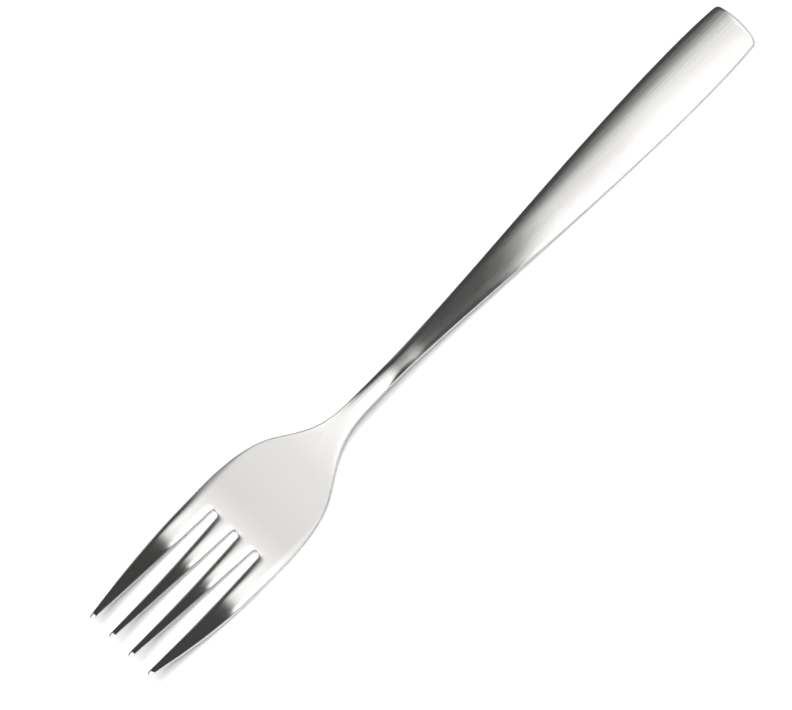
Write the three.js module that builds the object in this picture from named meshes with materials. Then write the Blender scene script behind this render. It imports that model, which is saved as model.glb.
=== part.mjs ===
// Table fork: one piece of stainless steel, punched from sheet, slotted into four tines, pressed to its curve
// and brushed satin. Millimetres. X runs along the fork from the tine tips to the handle end, Y across it and
// Z up. The fork lies as it would on a table at Z = 0, with the origin under the middle of its length.
import * as THREE from 'three';
import { mergeVertices } from 'three/addons/utils/BufferGeometryUtils.js';

// Lengths along the fork
const TINE_LENGTH = 37.2; // tips to the bottoms of the slots
const HEAD_LENGTH = 46.3; // slot bottoms to the narrowest point of the neck
const HANDLE_LENGTH = 116.5; // narrowest point of the neck to the end
const SHOULDER_FROM_SLOTS = 20.2; // where the head turns in towards the neck
const NOSE_LENGTH = 2.6; // rounded nose of a tine, seen from the side
const SWEEP_FROM_SLOTS = 12.2; // where the tines sweep up most tightly
const BELLY_FROM_SLOTS = 9; // where the head touches the table
const ARCH_BEFORE_NECK = 1.5; // where the neck is pressed highest
const CROWN_BEFORE_NECK = 16; // where the top starts to round over
const CROWN_PAST_NECK = 10; // where the rounding is tightest
const FOOT_FROM_END = 63; // where the handle has come down nearly to the table
const SWELL_FROM_END = 17; // where the handle is widest
const CORNER_FROM_END = 2; // where the handle's side meets its rounded corner
const REST_LENGTH = 26; // flat stretch under the handle end

// Widths across the fork
const HEAD_WIDTH = 26.4;
const SHOULDER_WIDTH = 19.4;
const NECK_WIDTH = 4.2;
const HANDLE_WIDTH = 13.4;
const END_WIDTH = 12.4;
const CORNER_RADIUS = 1.3;
const END_BOW = 0.85; // how far the end bulges past its corners

// Turn of the outline: sideways run for each millimetre along, and radii
const TINE_FLARE = 0.18; // outer sides of the outer tines, at the tips
const SHOULDER_SLOPE = 0.533;
const SHOULDER_RADIUS = 13;
const NECK_SIDE_RADIUS = 244;
const HANDLE_SIDE_RADIUS = 370;
const END_TAPER = 0.078;

// Tines and the slots between them
const TIP_WIDTH = 1.1;
const TIP_PITCH = 6.15;
const SLOT_WIDTH = 1.8; // at the rounded bottom
const SLOT_PITCH = 6.6; // from slot to slot at the bottoms

// Heights of the underside above the table, its slopes and the radii it is pressed to
const TIP_RISE = 9.2;
const SWEEP_RISE = 0.62;
const SHOULDER_RISE = 0.35;
const ARCH_RISE = 4.4;
const FOOT_RISE = 0.5;
const TIP_FALL = 0.54;
const SWEEP_FALL = 0.115;
const SHOULDER_CLIMB = 0.07;
const FOOT_FALL = 0.028;
const TIP_BEND_RADIUS = 75;
const SWEEP_RADIUS = 60;
const BELLY_RADIUS = 400;
const SHOULDER_BEND_RADIUS = 125;
const ARCH_RADIUS = 110;
const FOOT_RADIUS = 500;

// Thickness of the metal along the middle, and how far the top falls away to the sides
const NOSE_THICKNESS = 0.55; // at the very tip
const NOSE_SLOPE = 0.6;
const TIP_THICKNESS = 1.4; // behind the nose
const TINE_THICKENING = 0.02; // for each millimetre along, behind the nose
const HEAD_THICKNESS = 2;
const NECK_THICKNESS = 3.3;
const HANDLE_THICKNESS = 3.1;
const NECK_CROWN = 0.6; // at the narrowest point
const THROAT_CROWN = 0.75; // where the rounding is tightest
const HANDLE_CROWN = 1.15;
const CROWN_POWER = 2.4; // above 2, the crown falls away more towards the sides

// Softened edges: how far they reach in over the face, and how deep they are
const TIP_EDGE = 0.44;
const SWEEP_EDGE = 1.5;
const TINE_EDGE = 2.1; // nearly half a tine, so that its top is crowned
const HEAD_EDGE = 0.5;
const HANDLE_EDGE = 0.25;
const TIP_EDGE_DEPTH = 0.2;
const TINE_EDGE_DEPTH = 0.8;
const HEAD_EDGE_DEPTH = 0.2;
const HANDLE_EDGE_DEPTH = 0.25;
const LOWER_EDGE = 0.3;

// Facets: steps along each stretch of the outline, and across the metal
const END_STEPS = 4;
const CORNER_STEPS = 4;
const HANDLE_STEPS = 30;
const NECK_STEPS = 10;
const HEAD_STEPS = 5;
const TINE_STEPS = 12;
const TIP_STEPS = 6;
const TOP_STEPS = 4;
const EDGE_STEPS = 4;
const LOWER_STEPS = 3;
const UNDER_STEPS = 3;
const TIP_CROWDING = 1.5; // above 1, the steps along a tine draw closer towards its tip
const BRANCH_SHARE = 0.8; // how far out towards a side slot the faces part for the tines
const SLOPE_STEP = 1e-3; // run over which the slope of the underside is taken
const WELD = 1e-3;

// Places along the fork, measured from the tine tips
const length = TINE_LENGTH + HEAD_LENGTH + HANDLE_LENGTH;
const sweepAt = TINE_LENGTH - SWEEP_FROM_SLOTS;
const bellyAt = TINE_LENGTH + BELLY_FROM_SLOTS;
const shoulderAt = TINE_LENGTH + SHOULDER_FROM_SLOTS;
const neckAt = TINE_LENGTH + HEAD_LENGTH;
const archAt = neckAt - ARCH_BEFORE_NECK;
const footAt = length - FOOT_FROM_END;
const restAt = length - REST_LENGTH;
const swellAt = length - SWELL_FROM_END;
const cornerAt = length - CORNER_FROM_END;

const point = (u, y) => new THREE.Vector2(u, y);
const station = (place, value, slope = 0, bend = 0) => ({ place, value, slope, bend });

// A size that changes smoothly along the fork. Between two stations it is the quintic that meets the value,
// the slope and the bend of both, so reflections run on without a kink. Past the last station it holds.
function along(stations, u) {
  const next = stations.findIndex(({ place }) => place > u);
  if (next === 0) return stations[0].value;
  if (next < 0) return stations.at(-1).value;
  const a = stations[next - 1];
  const b = stations[next];
  const span = b.place - a.place;
  const w = (u - a.place) / span;
  const v = 1 - w;
  const share = w ** 3 * (10 - 15 * w + 6 * w ** 2);
  const slopes = a.slope * w * v ** 3 * (1 + 3 * w) - b.slope * w ** 3 * v * (4 - 3 * w);
  const bends = a.bend * w ** 2 * v ** 3 + b.bend * w ** 3 * v ** 2;
  return a.value * (1 - share) + b.value * share + slopes * span + (bends * span ** 2) / 2;
}

// Half-width of the blank, from the outer side of the outer tine to the handle's corner
const tipRadius = TIP_WIDTH / 2;
const slotRadius = SLOT_WIDTH / 2;
const innerTip = point(tipRadius, TIP_PITCH / 2);
const outerTip = point(tipRadius, TIP_PITCH * 1.5);
const flareAngle = Math.atan(TINE_FLARE);
const flareNormal = point(-Math.sin(flareAngle), Math.cos(flareAngle));
const outerSideStart = outerTip.clone().addScaledVector(flareNormal, tipRadius);
const SIDE = [
  station(outerSideStart.x, outerSideStart.y, TINE_FLARE),
  station(TINE_LENGTH, HEAD_WIDTH / 2),
  station(shoulderAt, SHOULDER_WIDTH / 2, -SHOULDER_SLOPE, -1 / SHOULDER_RADIUS),
  station(neckAt, NECK_WIDTH / 2, 0, 1 / NECK_SIDE_RADIUS),
  station(swellAt, HANDLE_WIDTH / 2, 0, -1 / HANDLE_SIDE_RADIUS),
  station(cornerAt, END_WIDTH / 2, -END_TAPER, -1 / HANDLE_SIDE_RADIUS),
];

// Pressed shape: the tines sweep up from the belly, the neck arches over and the handle comes down to rest
const UNDERSIDE = [
  station(0, TIP_RISE, -TIP_FALL, 1 / TIP_BEND_RADIUS),
  station(sweepAt, SWEEP_RISE, -SWEEP_FALL, 1 / SWEEP_RADIUS),
  station(bellyAt, 0, 0, 1 / BELLY_RADIUS),
  station(shoulderAt, SHOULDER_RISE, SHOULDER_CLIMB, 1 / SHOULDER_BEND_RADIUS),
  station(archAt, ARCH_RISE, 0, -1 / ARCH_RADIUS),
  station(footAt, FOOT_RISE, -FOOT_FALL, 1 / FOOT_RADIUS),
  station(restAt, 0),
];
const THICKNESS = [
  station(0, NOSE_THICKNESS, NOSE_SLOPE),
  station(NOSE_LENGTH, TIP_THICKNESS, TINE_THICKENING),
  station(TINE_LENGTH, HEAD_THICKNESS),
  station(shoulderAt, HEAD_THICKNESS),
  station(archAt, NECK_THICKNESS),
  station(swellAt, HANDLE_THICKNESS),
];
const CROWN = [
  station(neckAt - CROWN_BEFORE_NECK, 0),
  station(neckAt, NECK_CROWN),
  station(neckAt + CROWN_PAST_NECK, THROAT_CROWN),
  station(swellAt, HANDLE_CROWN),
];
const EDGE_REACH = [
  station(0, TIP_EDGE),
  station(sweepAt, SWEEP_EDGE),
  station(TINE_LENGTH, TINE_EDGE),
  station(shoulderAt, HEAD_EDGE),
  station(neckAt, HANDLE_EDGE),
];
const EDGE_FALL = [
  station(0, TIP_EDGE_DEPTH),
  station(sweepAt, TINE_EDGE_DEPTH),
  station(TINE_LENGTH, TINE_EDGE_DEPTH),
  station(shoulderAt, HEAD_EDGE_DEPTH),
  station(neckAt, HANDLE_EDGE_DEPTH),
];

const underside = (u) => along(UNDERSIDE, u);
const crownSide = (u) => along(SIDE, Math.min(u, swellAt));
const crownFall = (u, y) => along(CROWN, u) * Math.abs(y / crownSide(u)) ** CROWN_POWER;
const thickness = (u, y) => along(THICKNESS, u) - crownFall(u, y);

// A point of the flat blank, carried onto the pressed shape: it goes to its place on the underside, and then
// square off it by its height above the blank's own underside.
function pressed(blank, above) {
  const start = Math.max(blank.x - SLOPE_STEP / 2, 0);
  const tilt = Math.atan2(underside(start + SLOPE_STEP) - underside(start), SLOPE_STEP);
  const u = blank.x - above * Math.sin(tilt);
  return new THREE.Vector3(u, blank.y, underside(blank.x) + above * Math.cos(tilt));
}

// A stretch of the blank's side, walked from one place along the fork to another
class SideCurve extends THREE.Curve {
  constructor(from, to) {
    super();
    this.from = from;
    this.to = to;
  }

  getPoint(t, target = new THREE.Vector2()) {
    const u = THREE.MathUtils.lerp(this.from, this.to, t);
    return target.set(u, along(SIDE, u));
  }
}

// The bowed end is a parabola across the fork, and a corner curve runs from it into the handle's side
const bowFall = END_BOW / (END_WIDTH / 2) ** 2;
const bowEndY = END_WIDTH / 2 - CORNER_RADIUS;
const bowEnd = point(length - bowFall * bowEndY ** 2, bowEndY);
const bow = new THREE.QuadraticBezierCurve(point(length, 0), point(length, bowEndY / 2), bowEnd);
const bowSlope = 2 * bowFall * bowEndY;
const sideAtBow = END_WIDTH / 2 - END_TAPER * (bowEnd.x - cornerAt);
const cornerReach = (sideAtBow - bowEndY) / (1 - END_TAPER * bowSlope);
const cornerPeak = point(bowEnd.x - bowSlope * cornerReach, bowEndY + cornerReach);
const corner = new THREE.QuadraticBezierCurve(bowEnd, cornerPeak, point(cornerAt, END_WIDTH / 2));

// The straight side of a slot, which touches the round of a tine's tip and the round of the slot's bottom.
// The tine's metal lies on its +Y side where `metal` is 1, and on its -Y side where `metal` is -1.
function slotWall(tip, bottom, metal) {
  const run = bottom.clone().sub(tip);
  const turn = Math.asin((tipRadius + slotRadius) / run.length());
  const angle = Math.atan2(run.y, run.x) + metal * turn;
  const inward = point(-Math.sin(angle), Math.cos(angle)).multiplyScalar(metal);
  const tipEnd = tip.clone().addScaledVector(inward, -tipRadius);
  const bottomEnd = bottom.clone().addScaledVector(inward, slotRadius);
  const toBottom = new THREE.LineCurve(tipEnd, bottomEnd);
  const toTip = new THREE.LineCurve(bottomEnd, tipEnd);
  return { angle, toBottom, toTip };
}

const quarter = Math.PI / 2;
const sideSlot = point(TINE_LENGTH - slotRadius, SLOT_PITCH);
const middleSlot = point(TINE_LENGTH - slotRadius, 0);
const outerWall = slotWall(outerTip, sideSlot, 1);
const sideWall = slotWall(innerTip, sideSlot, -1);
const innerWall = slotWall(innerTip, middleSlot, 1);
const tipRound = (tip, from, to) => new THREE.ArcCurve(tip.x, tip.y, tipRadius, from, to, false);
const slotRound = (slot, from, to) => new THREE.ArcCurve(slot.x, slot.y, slotRadius, from, to, true);

// Spine of the +Y half: along the middle of the handle, out to a branch in the head, and down both tines
const axis = (from, to) => new THREE.LineCurve(point(from, 0), point(to, 0));
const line = (from, to) => new THREE.LineCurve(from, to);
const root = point(shoulderAt, 0);
const branch = point((TINE_LENGTH + shoulderAt) / 2, SLOT_PITCH * BRANCH_SHARE);
const outerRoot = point(TINE_LENGTH, (SLOT_PITCH + slotRadius + HEAD_WIDTH / 2) / 2);
const innerRoot = point(TINE_LENGTH, SLOT_PITCH / 2);
const pole = point(cornerAt, 0);

// The +Y half of the outline, from the middle of the handle end round to the bottom of the middle slot.
// Each stretch names the part of the spine that it looks towards, and how its steps are spaced.
const evenly = (t) => t;
const fromTip = (t) => t ** TIP_CROWDING;
const towardsTip = (t) => 1 - (1 - t) ** TIP_CROWDING;
const STRETCHES = [
  { edge: bow, spine: line(pole, pole), steps: END_STEPS },
  { edge: corner, spine: line(pole, pole), steps: CORNER_STEPS },
  { edge: new SideCurve(cornerAt, neckAt), spine: axis(cornerAt, neckAt), steps: HANDLE_STEPS },
  { edge: new SideCurve(neckAt, shoulderAt), spine: axis(neckAt, shoulderAt), steps: NECK_STEPS },
  { edge: new SideCurve(shoulderAt, branch.x), spine: line(root, branch), steps: HEAD_STEPS },
  { edge: new SideCurve(branch.x, TINE_LENGTH), spine: line(branch, outerRoot), steps: HEAD_STEPS },
  {
    edge: new SideCurve(TINE_LENGTH, outerSideStart.x),
    spine: line(outerRoot, outerTip),
    steps: TINE_STEPS,
    spacing: towardsTip,
  },
  {
    edge: tipRound(outerTip, quarter + flareAngle, 3 * quarter + outerWall.angle),
    spine: line(outerTip, outerTip),
    steps: TIP_STEPS,
  },
  { edge: outerWall.toBottom, spine: line(outerTip, outerRoot), steps: TINE_STEPS, spacing: fromTip },
  {
    edge: slotRound(sideSlot, quarter + outerWall.angle, 0),
    spine: line(outerRoot, branch),
    steps: HEAD_STEPS,
  },
  {
    edge: slotRound(sideSlot, 0, sideWall.angle - quarter),
    spine: line(branch, innerRoot),
    steps: HEAD_STEPS,
  },
  { edge: sideWall.toTip, spine: line(innerRoot, innerTip), steps: TINE_STEPS, spacing: towardsTip },
  {
    edge: tipRound(innerTip, quarter + sideWall.angle, 3 * quarter + innerWall.angle),
    spine: line(innerTip, innerTip),
    steps: TIP_STEPS,
  },
  { edge: innerWall.toBottom, spine: line(innerTip, innerRoot), steps: TINE_STEPS, spacing: fromTip },
  {
    edge: slotRound(middleSlot, quarter + innerWall.angle, quarter / 2),
    spine: line(innerRoot, branch),
    steps: HEAD_STEPS,
  },
  { edge: slotRound(middleSlot, quarter / 2, 0), spine: line(branch, root), steps: HEAD_STEPS },
];

// Points across the metal at one place of the outline: out from the spine over the top face, round the
// softened top edge, down the side, round the lower edge, and back to the spine underneath.
function section(edge, inward, spine) {
  const reach = along(EDGE_REACH, edge.x);
  const fall = along(EDGE_FALL, edge.x);
  const inset = (distance) => edge.clone().addScaledVector(inward, distance);
  const upper = (p, drop) => pressed(p, thickness(p.x, p.y) - drop);
  const lower = (p, lift) => pressed(p, lift);
  const points = [];
  for (let i = 0; i < TOP_STEPS; i++) {
    points.push(upper(spine.clone().lerp(inset(reach), i / TOP_STEPS), 0));
  }
  for (let i = 0; i <= EDGE_STEPS; i++) {
    const turn = (quarter * i) / EDGE_STEPS;
    points.push(upper(inset(reach * (1 - Math.sin(turn))), fall * (1 - Math.cos(turn))));
  }
  for (let i = 0; i <= LOWER_STEPS; i++) {
    const turn = (quarter * i) / LOWER_STEPS;
    points.push(lower(inset(LOWER_EDGE * (1 - Math.cos(turn))), LOWER_EDGE * (1 - Math.sin(turn))));
  }
  for (let i = 1; i <= UNDER_STEPS; i++) {
    points.push(lower(inset(LOWER_EDGE).lerp(spine, i / UNDER_STEPS), 0));
  }
  return points;
}

// All sections of the +Y half, in order round the outline
function halfSections() {
  const sections = [];
  const add = ({ edge, spine }, t) => {
    const tangent = edge.getTangent(t);
    sections.push(section(edge.getPoint(t), point(-tangent.y, tangent.x), spine.getPoint(t)));
  };
  for (const stretch of STRETCHES) {
    const { steps, spacing = evenly } = stretch;
    for (let i = 0; i < steps; i++) add(stretch, spacing(i / steps));
  }
  add(STRETCHES.at(-1), 1);
  return sections;
}

// The closed skin of the fork: the +Y half and its mirror image, welded along the middle
function forkGeometry() {
  const sections = halfSections();
  const rows = sections[0].length;
  const positions = [];
  const triangles = [];
  for (const side of [1, -1]) {
    const first = positions.length / 3;
    for (const p of sections.flat()) positions.push(p.x - length / 2, p.y * side, p.z);
    for (let i = 0; i + 1 < sections.length; i++) {
      for (let j = 0; j + 1 < rows; j++) {
        const a = first + i * rows + j;
        const b = a + 1;
        const c = b + rows;
        const d = a + rows;
        if (side > 0) triangles.push(a, b, c, a, c, d);
        else triangles.push(a, c, b, a, d, c);
      }
    }
  }
  const skin = new THREE.BufferGeometry();
  skin.setAttribute('position', new THREE.Float32BufferAttribute(positions, 3));
  skin.setIndex(triangles);
  const welded = mergeVertices(skin, WELD);
  const corners = welded.index.array;
  const kept = [];
  for (let i = 0; i < corners.length; i += 3) {
    const [a, b, c] = corners.slice(i, i + 3);
    if (a !== b && b !== c && c !== a) kept.push(a, b, c);
  }
  welded.setIndex(kept);
  welded.computeVertexNormals();
  return welded;
}

const satinSteel = new THREE.MeshStandardMaterial({ color: 0xd8d7d4, metalness: 1, roughness: 0.32 });
const fork = new THREE.Mesh(forkGeometry(), satinSteel);
fork.name = 'fork';

const tableFork = new THREE.Group();
tableFork.add(fork);

export default tableFork;
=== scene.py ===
import math

import bpy
import numpy as np
from mathutils import Matrix, Vector


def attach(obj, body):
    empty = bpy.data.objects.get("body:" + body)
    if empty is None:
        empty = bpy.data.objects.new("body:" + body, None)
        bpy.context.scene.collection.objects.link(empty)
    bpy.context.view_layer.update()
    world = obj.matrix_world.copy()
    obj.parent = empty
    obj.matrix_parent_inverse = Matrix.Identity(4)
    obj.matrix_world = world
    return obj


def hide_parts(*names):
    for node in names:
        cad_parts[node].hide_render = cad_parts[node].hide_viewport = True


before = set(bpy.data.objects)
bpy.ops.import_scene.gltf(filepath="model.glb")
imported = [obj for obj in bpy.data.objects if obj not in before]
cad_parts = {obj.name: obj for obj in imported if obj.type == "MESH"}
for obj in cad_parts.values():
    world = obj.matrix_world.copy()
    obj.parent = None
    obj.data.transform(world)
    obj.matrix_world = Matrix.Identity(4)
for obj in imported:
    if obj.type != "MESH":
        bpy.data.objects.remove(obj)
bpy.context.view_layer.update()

# The fork: one piece of stainless steel, punched from sheet and slotted into four tapered tines, then
# pressed so that the tines sweep up, the neck arches over and the handle comes down to a flat rest. The
# blank is rolled thin at the head, left thick at the neck, and softened along its edges before brushing.
MM = 0.001

TINE_LENGTH = 37.2
HEAD_LENGTH = 46.3
HANDLE_LENGTH = 116.5
LENGTH = TINE_LENGTH + HEAD_LENGTH + HANDLE_LENGTH
BEND_AT = TINE_LENGTH - 12.2
BELLY_AT = TINE_LENGTH + 9
SHOULDER_AT = TINE_LENGTH + 20.2
NECK_AT = TINE_LENGTH + HEAD_LENGTH
ARCH_AT = NECK_AT - 1.5
HOLLOW_AT = NECK_AT + 8.5
CROWN_FROM = NECK_AT - 16
CROWN_EASES_AT = NECK_AT + 10
FOOT_AT = LENGTH - 63
REST_AT = LENGTH - 26
SWELL_AT = LENGTH - 17
CORNER_AT = LENGTH - 2

HEAD_WIDTH = 26.4
END_WIDTH = 12.4
END_TAPER = 0.078
END_BOW = 0.85
CORNER_RADIUS = 1.3
TINE_FLARE = 0.18
TIP_RADIUS = 0.55
TIP_PITCH = 6.15
NOSE_LENGTH = 2.6
SLOT_RADIUS = 0.9
SLOT_PITCH = 6.6
SLOT_BOTTOM_LOSS = 0.88
HEAD_THICKNESS = 2
NECK_THICKNESS = 3.3
HOLLOW_REACH = 6
HOLLOW_DEPTH = 0.04
CROWN_POWER = 2.4
LOWER_EDGE = 0.3

FLARE_ANGLE = math.atan(TINE_FLARE)
INNER_TIP = np.array([TIP_RADIUS, TIP_PITCH / 2])
OUTER_TIP = np.array([TIP_RADIUS, TIP_PITCH * 1.5])
OUTER_SIDE_START = OUTER_TIP + TIP_RADIUS * np.array([-math.sin(FLARE_ANGLE), math.cos(FLARE_ANGLE)])

# Each row is a place along the fork, the size there, its slope and its bend
SIDE = [
    (*OUTER_SIDE_START, TINE_FLARE, 0),
    (TINE_LENGTH, HEAD_WIDTH / 2, 0, 0),
    (SHOULDER_AT, 9.7, -0.533, -1 / 13),
    (NECK_AT, 2.1, 0, 1 / 244),
    (SWELL_AT, 6.7, 0, -1 / 370),
    (CORNER_AT, END_WIDTH / 2, -END_TAPER, -1 / 370),
]
UNDERSIDE = [
    (0, 9.2, -0.54, 1 / 75),
    (BEND_AT, 0.55, -0.1, 1 / 60),
    (BELLY_AT, 0, 0, 1 / 400),
    (SHOULDER_AT, 0.35, 0.07, 1 / 125),
    (ARCH_AT, 4.4, 0, -1 / 110),
    (FOOT_AT, 0.5, -0.028, 1 / 500),
    (REST_AT, 0, 0, 0),
]
# The hollow just past the neck is too shallow to feel, but it changes what the steel mirrors there
THICKNESS = [
    (0, 0.55, 0.6, 0),
    (NOSE_LENGTH, 1.4, 0.02, 0),
    (TINE_LENGTH, HEAD_THICKNESS, 0, 0),
    (SHOULDER_AT, HEAD_THICKNESS, 0, 0),
    (ARCH_AT, NECK_THICKNESS, 0, 0),
    (HOLLOW_AT - HOLLOW_REACH, NECK_THICKNESS, 0, 0),
    (HOLLOW_AT, NECK_THICKNESS - HOLLOW_DEPTH, 0, 1 / 180),
    (HOLLOW_AT + HOLLOW_REACH, NECK_THICKNESS, 0, 0),
    (SWELL_AT, 3.1, 0, 0),
]
CROWN = [
    (CROWN_FROM, 0, 0, 0),
    (NECK_AT, 0.4, 0.03, 0),
    (CROWN_EASES_AT, 0.75, 0, 0),
    (SWELL_AT, 1.15, 0, 0),
]
EDGE_REACH = [
    (0, 0.44, 0, 0),
    (BEND_AT, 1.5, 0, 0),
    (TINE_LENGTH, 2.1, 0, 0),
    (SHOULDER_AT, 0.3, 0, 0),
    (NECK_AT, 0.12, 0, 0),
    (CORNER_AT, 0.12, 0, 0),
    (LENGTH - END_BOW, 0.02, 0, 0),
]
EDGE_FALL = [
    (0, 0.2, 0, 0),
    (BEND_AT, 0.8, 0, 0),
    (TINE_LENGTH, 0.8, 0, 0),
    (SHOULDER_AT, 0.12, 0, 0),
    (NECK_AT, 0.1, 0, 0),
    (CORNER_AT, 0.1, 0, 0),
    (LENGTH - END_BOW, 0.02, 0, 0),
]
# How much a place belongs to the bottoms of the slots, where the upper edge is softened less
SLOT_BOTTOM = [
    (BEND_AT, 0, 0, 0),
    (TINE_LENGTH - SLOT_RADIUS, 1, 0, 0),
]

SLOPE_STEP = 1e-3
WELD_DISTANCE = 1e-4


def along(stations, u):
    """A size that changes smoothly along the fork: between two stations it is the quintic that meets the
    value, the slope and the bend of both, and outside them it holds the nearest value."""
    u = np.asarray(u, float)
    size = np.where(u < stations[0][0], stations[0][1], stations[-1][1]).astype(float)
    for (u0, a, slope_a, bend_a), (u1, b, slope_b, bend_b) in zip(stations[:-1], stations[1:]):
        span = u1 - u0
        w = np.clip((u - u0) / span, 0, 1)
        v = 1 - w
        share = w**3 * (10 - 15 * w + 6 * w**2)
        slopes = slope_a * w * v**3 * (1 + 3 * w) - slope_b * w**3 * v * (4 - 3 * w)
        bends = bend_a * w**2 * v**3 + bend_b * w**3 * v**2
        between = (u >= u0) & (u <= u1)
        size = np.where(between, a * (1 - share) + b * share + slopes * span + bends * span**2 / 2, size)
    return size


def depth(u, y):
    """Thickness of the metal, measured square to the underside: that of the middle, less a power of the
    distance across for the crown of the handle."""
    half_width = along(SIDE, np.minimum(u, SWELL_AT))
    return along(THICKNESS, u) - along(CROWN, u) * np.abs(y / half_width) ** CROWN_POWER


def pressed(plan, above):
    """Points of the flat blank, carried onto the side curve: each goes to its place on the underside and
    then square off it, by its height above the underside of the blank."""
    u, y = plan[..., 0], plan[..., 1]
    start = np.maximum(u - SLOPE_STEP / 2, 0)
    tilt = np.arctan2(along(UNDERSIDE, start + SLOPE_STEP) - along(UNDERSIDE, start), SLOPE_STEP)
    return np.stack([u - above * np.sin(tilt), y, along(UNDERSIDE, u) + above * np.cos(tilt)], -1)


def line(start, end, steps):
    """Evenly spaced points from start to end, without the end itself."""
    t = np.arange(steps)[:, None] / steps
    return np.asarray(start) * (1 - t) + np.asarray(end) * t


def straight_edge(start, end, steps):
    """A straight stretch of the outline and its inward normal, which is to the left of the walk."""
    run = (np.asarray(end) - start) / np.linalg.norm(np.asarray(end) - start)
    return line(start, end, steps), np.broadcast_to([-run[1], run[0]], (steps, 2))


def side_edge(start, end, steps):
    """A stretch of the blank's side, walked from one place to another: half-width over place along the
    fork. The normal comes from a small difference of the half-width."""
    u = line([start], [end], steps)[:, 0]
    slope = (along(SIDE, u + SLOPE_STEP) - along(SIDE, u - SLOPE_STEP)) / (2 * SLOPE_STEP)
    inward = np.stack([slope, -np.ones(steps)], 1) / np.hypot(slope, 1)[:, None]
    return np.stack([u, along(SIDE, u)], 1), inward


def round_edge(centre, radius, start, end, steps, metal):
    """An arc of the outline from one angle to another. The metal is inside the round of a tip (metal 1) and
    outside the round of a slot's bottom (metal -1)."""
    angle = line([start], [end], steps)[:, 0]
    outward = np.stack([np.cos(angle), np.sin(angle)], 1)
    return centre + radius * outward, -metal * outward


def curved_edge(a, b, c, steps):
    """A parabola through a and c whose end tangents meet at b, and its inward normal."""
    a, b, c = (np.asarray(p, float) for p in (a, b, c))
    t = np.arange(steps)[:, None] / steps
    run = (b - a) * (1 - t) + (c - b) * t
    run = run / np.linalg.norm(run, axis=1)[:, None]
    edge = a * (1 - t) ** 2 + 2 * b * t * (1 - t) + c * t**2
    return edge, np.stack([-run[:, 1], run[:, 0]], 1)


def slot_wall(tip, bottom, metal):
    """The straight side of a slot, touching the round of a tine's tip and the round of the slot's bottom.
    The tine lies on its +Y side where metal is 1, and on its -Y side where metal is -1."""
    run = bottom - tip
    turn = math.asin((TIP_RADIUS + SLOT_RADIUS) / np.hypot(*run))
    angle = math.atan2(run[1], run[0]) + metal * turn
    inward = metal * np.array([-math.sin(angle), math.cos(angle)])
    return angle, tip - TIP_RADIUS * inward, bottom + SLOT_RADIUS * inward


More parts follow.
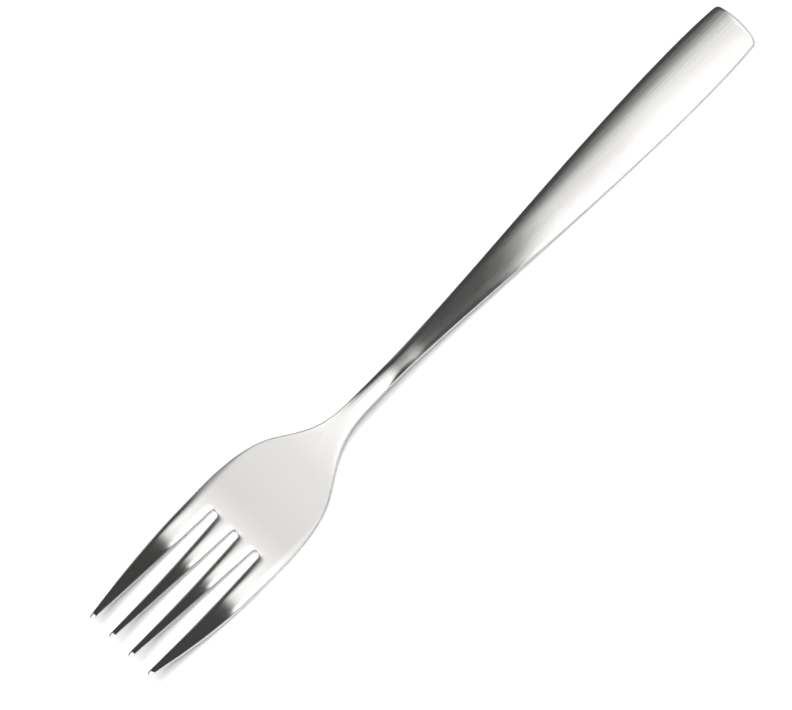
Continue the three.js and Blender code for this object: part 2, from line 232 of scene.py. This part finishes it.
def fork_outline():
    """The +Y half of the outline, from the middle of the handle end round to the bottom of the middle slot:
    points, inward normals, and for each point the place on the spine that it looks towards. The spine runs
    along the handle, branches in the head and goes down the middle of each tine."""
    quarter = math.pi / 2
    bow_fall = END_BOW / (END_WIDTH / 2) ** 2
    bow_y = END_WIDTH / 2 - CORNER_RADIUS
    bow_end = np.array([LENGTH - bow_fall * bow_y**2, bow_y])
    bow_slope = 2 * bow_fall * bow_y
    to_side = END_WIDTH / 2 - END_TAPER * (bow_end[0] - CORNER_AT) - bow_y
    corner_peak = bow_end + to_side / (1 - END_TAPER * bow_slope) * np.array([-bow_slope, 1])

    side_slot = np.array([TINE_LENGTH - SLOT_RADIUS, SLOT_PITCH])
    middle_slot = np.array([TINE_LENGTH - SLOT_RADIUS, 0])
    outer_angle, outer_tip_end, outer_slot_end = slot_wall(OUTER_TIP, side_slot, 1)
    side_angle, side_tip_end, side_slot_end = slot_wall(INNER_TIP, side_slot, -1)
    inner_angle, inner_tip_end, inner_slot_end = slot_wall(INNER_TIP, middle_slot, 1)

    branch_share = 0.8
    pole = (CORNER_AT, 0)
    waist = (NECK_AT, 0)
    root = (SHOULDER_AT, 0)
    branch = ((TINE_LENGTH + SHOULDER_AT) / 2, SLOT_PITCH * branch_share)
    outer_root = (TINE_LENGTH, (SLOT_PITCH + SLOT_RADIUS + HEAD_WIDTH / 2) / 2)
    inner_root = (TINE_LENGTH, SLOT_PITCH / 2)

    # Steps of the grid along each stretch, then the stretches, each with its two ends on the spine
    end, corner, handle, neck, head, tine, tip = 20, 12, 240, 84, 34, 120, 18
    stretches = [
        (curved_edge((LENGTH, 0), (LENGTH, bow_y / 2), bow_end, end), (pole, pole)),
        (curved_edge(bow_end, corner_peak, (CORNER_AT, END_WIDTH / 2), corner), (pole, pole)),
        (side_edge(CORNER_AT, NECK_AT, handle), (pole, waist)),
        (side_edge(NECK_AT, SHOULDER_AT, neck), (waist, root)),
        (side_edge(SHOULDER_AT, branch[0], head), (root, branch)),
        (side_edge(branch[0], TINE_LENGTH, head), (branch, outer_root)),
        (side_edge(TINE_LENGTH, OUTER_SIDE_START[0], tine), (outer_root, OUTER_TIP)),
        (round_edge(OUTER_TIP, TIP_RADIUS, quarter + FLARE_ANGLE, 3 * quarter + outer_angle, tip, 1),
         (OUTER_TIP, OUTER_TIP)),
        (straight_edge(outer_tip_end, outer_slot_end, tine), (OUTER_TIP, outer_root)),
        (round_edge(side_slot, SLOT_RADIUS, quarter + outer_angle, 0, head, -1), (outer_root, branch)),
        (round_edge(side_slot, SLOT_RADIUS, 0, side_angle - quarter, head, -1), (branch, inner_root)),
        (straight_edge(side_slot_end, side_tip_end, tine), (inner_root, INNER_TIP)),
        (round_edge(INNER_TIP, TIP_RADIUS, quarter + side_angle, 3 * quarter + inner_angle, tip, 1),
         (INNER_TIP, INNER_TIP)),
        (straight_edge(inner_tip_end, inner_slot_end, tine), (INNER_TIP, inner_root)),
        (round_edge(middle_slot, SLOT_RADIUS, quarter + inner_angle, quarter / 2, head, -1),
         (inner_root, branch)),
        (round_edge(middle_slot, SLOT_RADIUS, quarter / 2, 0, head, -1), (branch, root)),
    ]
    edge = np.concatenate([e for (e, _), _ in stretches] + [[(TINE_LENGTH, 0)]])
    inward = np.concatenate([n for (_, n), _ in stretches] + [[(1, 0)]])
    spine = np.concatenate([line(*ends, len(e)) for (e, _), ends in stretches] + [[root]])
    return edge, inward, spine


def fork_skin():
    """Points over the +Y half, one row for each place of the outline. A row runs out from the spine over
    the top face, a quarter ellipse round the softened edge, down the side, round the lower edge and back to
    the spine underneath. Also gives where each point falls when the skin is unfolded past the outline, which
    the brushing follows, and how far in from the outline it lies."""
    edge, inward, spine = (a[:, None, :] for a in fork_outline())
    top, turn_steps, wall, under = 12, 10, 2, 7
    turn = np.linspace(0, math.pi / 2, turn_steps)[None, :, None]
    faces_slot = along(SLOT_BOTTOM, edge[..., :1]) * np.maximum(inward[..., :1], 0) ** 2
    softened = 1 - SLOT_BOTTOM_LOSS * faces_slot
    reach = along(EDGE_REACH, edge[..., :1]) * softened
    fall = (along(EDGE_FALL, edge[..., :1]) * softened)[..., 0]

    face = spine + (edge + inward * reach - spine) * np.linspace(0, 1, top, endpoint=False)[None, :, None]
    rounded = edge + inward * reach * (1 - np.sin(turn))
    down = np.broadcast_to(edge, (len(edge), wall - 1, 2))
    lower = edge + inward * LOWER_EDGE * (1 - np.cos(turn))
    inner = edge + inward * LOWER_EDGE
    back = inner + (spine - inner) * np.linspace(0, 1, under + 1)[None, 1:, None]
    plan = np.concatenate([face, rounded, down, lower, back], 1)

    face_height = depth(face[..., 0], face[..., 1])
    high = depth(rounded[..., 0], rounded[..., 1]) - fall * (1 - np.cos(turn[..., 0]))
    low = LOWER_EDGE * (1 - np.sin(turn[..., 0])) * np.ones((len(edge), 1))
    share = (np.arange(1, wall) / wall)[None, :]
    between = high[:, -1:] * (1 - share) + low[:, :1] * share
    above = np.concatenate([face_height, high, between, low, np.zeros(back.shape[:2])], 1)

    skin = pressed(plan, above)
    walked = np.cumsum(np.linalg.norm(np.diff(skin[:, top:], axis=1), axis=2), 1)
    past = np.concatenate([np.zeros((len(skin), top + 1)), walked], 1)[..., None]
    brow = np.broadcast_to(rounded[:, :1], plan[:, top:].shape)
    unfolded = np.concatenate([plan[:, :top], brow], 1) - inward * past
    return skin - [LENGTH / 2, 0, 0], unfolded, np.linalg.norm(plan - edge, axis=2)


def fork_mesh():
    """The closed skin: the +Y half and its mirror image, as triangles of the grid, welded along the middle.
    Its UV map holds the distance across the fork and along it, and its attribute to_edge the distance in
    from the outline, all in metres."""
    half, unfolded, inset = fork_skin()
    rows, columns = half.shape[:2]
    corner = np.arange(rows * columns).reshape(rows, columns)
    a, b, c, d = corner[:-1, :-1], corner[:-1, 1:], corner[1:, 1:], corner[1:, :-1]
    one = np.stack([a, b, c, a, c, d], -1).reshape(-1, 3)
    triangles = np.concatenate([one, one[:, ::-1] + corner.size])
    points = np.concatenate([half.reshape(-1, 3), half.reshape(-1, 3) * [1, -1, 1]])
    across = unfolded.reshape(-1, 2)[:, ::-1]
    across = np.concatenate([across, across * [-1, 1]]) * MM

    places = np.round(points / WELD_DISTANCE).astype(np.int64)
    _, first, index = np.unique(places, axis=0, return_index=True, return_inverse=True)
    welded = index.reshape(-1)[triangles]
    kept = (welded[:, 0] != welded[:, 1]) & (welded[:, 1] != welded[:, 2]) & (welded[:, 2] != welded[:, 0])
    mesh = bpy.data.meshes.new("fork_skin")
    mesh.from_pydata(points[first] * MM, [], welded[kept])
    brush = mesh.uv_layers.new(name="brush")
    brush.data.foreach_set("uv", across[triangles[kept]].astype(np.float32).ravel())
    to_edge = mesh.attributes.new("to_edge", "FLOAT", "POINT")
    to_edge.data.foreach_set("value", (np.tile(inset.ravel(), 2)[first] * MM).astype(np.float32))
    mesh.shade_smooth()
    return mesh


def linear(hex_colour):
    """An sRGB hex colour as linear red, green, blue and alpha."""
    srgb = np.array([int(hex_colour[i:i + 2], 16) for i in (1, 3, 5)]) / 255
    rgb = np.where(srgb <= 0.04045, srgb / 12.92, ((srgb + 0.055) / 1.055) ** 2.4)
    return (*rgb.tolist(), 1)


def add_node(owner, kind, links=(), inputs=(), **settings):
    """Adds a node of a kind to a material or a world, with its settings, its socket values and its links
    from other nodes' sockets."""
    node = owner.node_tree.nodes.new(kind)
    for name, value in settings.items():
        setattr(node, name, value)
    for name, value in dict(inputs).items():
        node.inputs[name].default_value = value
    for name, source in dict(links).items():
        owner.node_tree.links.new(source, node.inputs[name])
    return node


def satin_brushed_stainless():
    """Stainless steel, brushed along the fork with a fine belt and left duller on the head. The eye sees
    soft reflections that are drawn out across the grain, clearer ones close to the edges, and faint
    hairlines. Real hairlines are too fine to show, so these are drawn several times as wide."""
    hairline_across = 0.5 * MM
    hairline_along = 14 * MM
    handle_relief = 0.022 * MM
    head_relief = 0.015 * MM
    head_fades_in = (30 * MM, 44 * MM)
    head_fades_out = (58 * MM, 72 * MM)
    edge_fades_out = (0.2 * MM, 1.6 * MM)
    edge_roughness = 0.13
    brushed_roughness = 0.22
    head_roughness = 0.39

    steel = bpy.data.materials.new("satin_brushed_stainless")
    steel.use_nodes = True
    steel.node_tree.nodes.clear()
    brush = add_node(steel, "ShaderNodeUVMap", uv_map="brush")
    drawn = add_node(steel, "ShaderNodeMapping", {"Vector": brush.outputs["UV"]},
                     {"Scale": (1 / hairline_across, 1 / hairline_along, 1)})
    hairlines = add_node(steel, "ShaderNodeTexNoise", {"Vector": drawn.outputs["Vector"]},
                         {"Scale": 1.0, "Detail": 3.0, "Roughness": 0.6})

    place = add_node(steel, "ShaderNodeSeparateXYZ", {"Vector": brush.outputs["UV"]})
    past_tines = add_node(steel, "ShaderNodeMapRange", {"Value": place.outputs["Y"]},
                          {"From Min": head_fades_in[0], "From Max": head_fades_in[1]},
                          interpolation_type="SMOOTHSTEP")
    before_neck = add_node(steel, "ShaderNodeMapRange", {"Value": place.outputs["Y"]},
                           {"From Min": head_fades_out[0], "From Max": head_fades_out[1],
                            "To Min": 1, "To Max": 0},
                           interpolation_type="SMOOTHSTEP")
    head = add_node(steel, "ShaderNodeMath",
                    {0: past_tines.outputs["Result"], 1: before_neck.outputs["Result"]},
                    operation="MULTIPLY")
    to_edge = add_node(steel, "ShaderNodeAttribute", attribute_name="to_edge")
    brushed = add_node(steel, "ShaderNodeMapRange", {"Value": to_edge.outputs["Fac"]},
                       {"From Min": edge_fades_out[0], "From Max": edge_fades_out[1],
                        "To Min": edge_roughness, "To Max": brushed_roughness},
                       interpolation_type="SMOOTHSTEP")
    roughness = add_node(steel, "ShaderNodeMapRange",
                         {"Value": head.outputs["Value"], "To Min": brushed.outputs["Result"]},
                         {"To Max": head_roughness})

    relief = add_node(steel, "ShaderNodeMapRange", {"Value": before_neck.outputs["Result"]},
                      {"To Min": handle_relief, "To Max": head_relief})
    bump = add_node(steel, "ShaderNodeBump",
                    {"Height": hairlines.outputs["Fac"], "Distance": relief.outputs["Result"]},
                    {"Strength": 1.0})
    tangent = add_node(steel, "ShaderNodeTangent", direction_type="UV_MAP", uv_map="brush")
    shader = add_node(steel, "ShaderNodeBsdfPrincipled",
                      {"Roughness": roughness.outputs["Result"], "Normal": bump.outputs["Normal"],
                       "Tangent": tangent.outputs["Tangent"]},
                      {"Base Color": linear("#cfcecc"), "Metallic": 1.0, "Anisotropic": 0.9})
    add_node(steel, "ShaderNodeOutputMaterial", {"Surface": shader.outputs["BSDF"]})
    return steel


fork = bpy.data.objects.new("fork_steel", fork_mesh())
bpy.context.scene.collection.objects.link(fork)
fork.data.materials.append(satin_brushed_stainless())
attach(fork, "root")
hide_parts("fork")

# The table: a plain white laminate top that the fork lies on. It is matt all over, so that it shows the
# fork's soft shadow and no reflection of it.
TABLE_SIZE = 8.0
half = TABLE_SIZE / 2
top = bpy.data.meshes.new("table_top")
corners = [(-half, -half, 0), (half, -half, 0), (half, half, 0), (-half, half, 0)]
top.from_pydata(corners, [], [(0, 1, 2, 3)])
table = bpy.data.objects.new("table_top", top)
bpy.context.scene.collection.objects.link(table)
matt_white = bpy.data.materials.new("matt_white_laminate")
matt_white.use_nodes = True
laminate = matt_white.node_tree.nodes["Principled BSDF"]
laminate.inputs["Base Color"].default_value = linear("#c8c8c8")
laminate.inputs["Roughness"].default_value = 0.9
laminate.inputs["Specular IOR Level"].default_value = 0.0
top.materials.append(matt_white)

# The light: white softboxes over the tine end, stacked so that what the steel mirrors fades out towards
# their edges, a narrow one beside them, and a lamp that lights only the table, which stays white with a
# soft shadow. The room is dim overhead and paler low down, most of all on the near side.
SOFTBOX_CORNER = (-4.5, -4)
SOFTBOX_HEIGHT = 2.5
SOFTBOX_GAP = 0.02
SOFTBOX_LAYERS = [
    ("softbox_rim", (0.32, 1.2), 0.83, True),
    ("softbox_outer", (0.28, 0.85), 0.42, True),
    ("softbox_inner", (0.235, 0.5), 0.35, False),
    ("softbox_middle", (0.20, 0.1), 0.42, False),
]
NEAR_HEIGHT = SOFTBOX_HEIGHT - 3 * SOFTBOX_GAP
KEY_HEIGHT = 2.3
CEILING_LIGHT = linear("#4e4e4e")[0]
WALL_LIGHT = 0.55
NEAR_WALL_LIGHT = 0.6


def area_light(name, low, high, height, radiance, mirrored, on_table):
    """A level rectangle of light that faces down, between two corners in plan. Its power is what gives that
    radiance: radiance times area times pi. Mirrored says whether the steel mirrors it, and on_table whether
    it lights the table."""
    size = Vector(high) - Vector(low)
    light = bpy.data.lights.new(name, "AREA")
    light.shape = "RECTANGLE"
    light.size, light.size_y = size
    light.energy = radiance * size.x * size.y * math.pi
    lamp = bpy.data.objects.new(name, light)
    lamp.location = (*((Vector(high) + Vector(low)) / 2), height)
    lamp.visible_glossy = mirrored
    lamp.visible_diffuse = on_table
    lamp.visible_camera = False
    bpy.context.scene.collection.objects.link(lamp)


for layer, (name, corner, radiance, on_table) in enumerate(SOFTBOX_LAYERS):
    height = SOFTBOX_HEIGHT - layer * SOFTBOX_GAP
    area_light(name, SOFTBOX_CORNER, corner, height, radiance, True, on_table)
area_light("softbox_near", (0.24, -2.5), (0.325, -0.35), NEAR_HEIGHT, 0.85, True, False)
area_light("table_key", (-0.37, -0.22), (0.53, 0.68), KEY_HEIGHT, 34.3, False, True)

# In the room's nodes, Z is the sine of the angle above the horizon, and -Y is the near side
room = bpy.data.worlds.new("dim_room")
room.use_nodes = True
way = add_node(room, "ShaderNodeTexCoord")
side = add_node(room, "ShaderNodeSeparateXYZ", {"Vector": way.outputs["Generated"]})
walls = add_node(room, "ShaderNodeMapRange", {"Value": side.outputs["Z"]},
                 {"From Min": 0.1, "From Max": 0.45, "To Min": WALL_LIGHT, "To Max": CEILING_LIGHT})
near_side = add_node(room, "ShaderNodeMapRange", {"Value": side.outputs["Y"]},
                     {"From Min": -0.1, "From Max": -0.6, "To Min": 0, "To Max": NEAR_WALL_LIGHT})
low_down = add_node(room, "ShaderNodeMapRange", {"Value": side.outputs["Z"]},
                    {"From Min": 0.3, "From Max": 0.45, "To Min": 1, "To Max": 0})
light = add_node(room, "ShaderNodeMath",
                 {0: near_side.outputs["Result"], 1: low_down.outputs["Result"],
                  2: walls.outputs["Result"]},
                 operation="MULTIPLY_ADD")
room.node_tree.links.new(light.outputs["Value"], room.node_tree.nodes["Background"].inputs["Color"])
bpy.context.scene.world = room
bpy.context.scene.view_settings.view_transform = "Standard"

# The camera: a long lens, high over the near side of the fork and turned about its own axis, so that the
# fork lies corner to corner in the picture with the tines at the lower left.
PICTURE_PIXELS = 792
PIXEL_SIZE = 0.227 * MM
LENS = 500
SENSOR = 36
ELEVATION = math.radians(84.5)
FORK_ANGLE = math.radians(45.5)
AIM = Vector((-8.7, 2.0, 6.0)) * MM

camera = bpy.data.objects.new("camera", bpy.data.cameras.new("camera"))
camera.data.lens = LENS
camera.data.sensor_width = SENSOR
back = Vector((0, -math.cos(ELEVATION), math.sin(ELEVATION)))
level = Vector((1, 0, 0))
rise = back.cross(level)
right = level * math.cos(FORK_ANGLE) - rise * math.sin(FORK_ANGLE)
up = level * math.sin(FORK_ANGLE) + rise * math.cos(FORK_ANGLE)
turn = Matrix((right, up, back)).transposed().to_4x4()
distance = PICTURE_PIXELS * PIXEL_SIZE * LENS / SENSOR
camera.matrix_world = Matrix.Translation(AIM + back * distance) @ turn
bpy.context.scene.collection.objects.link(camera)
bpy.context.scene.camera = camera
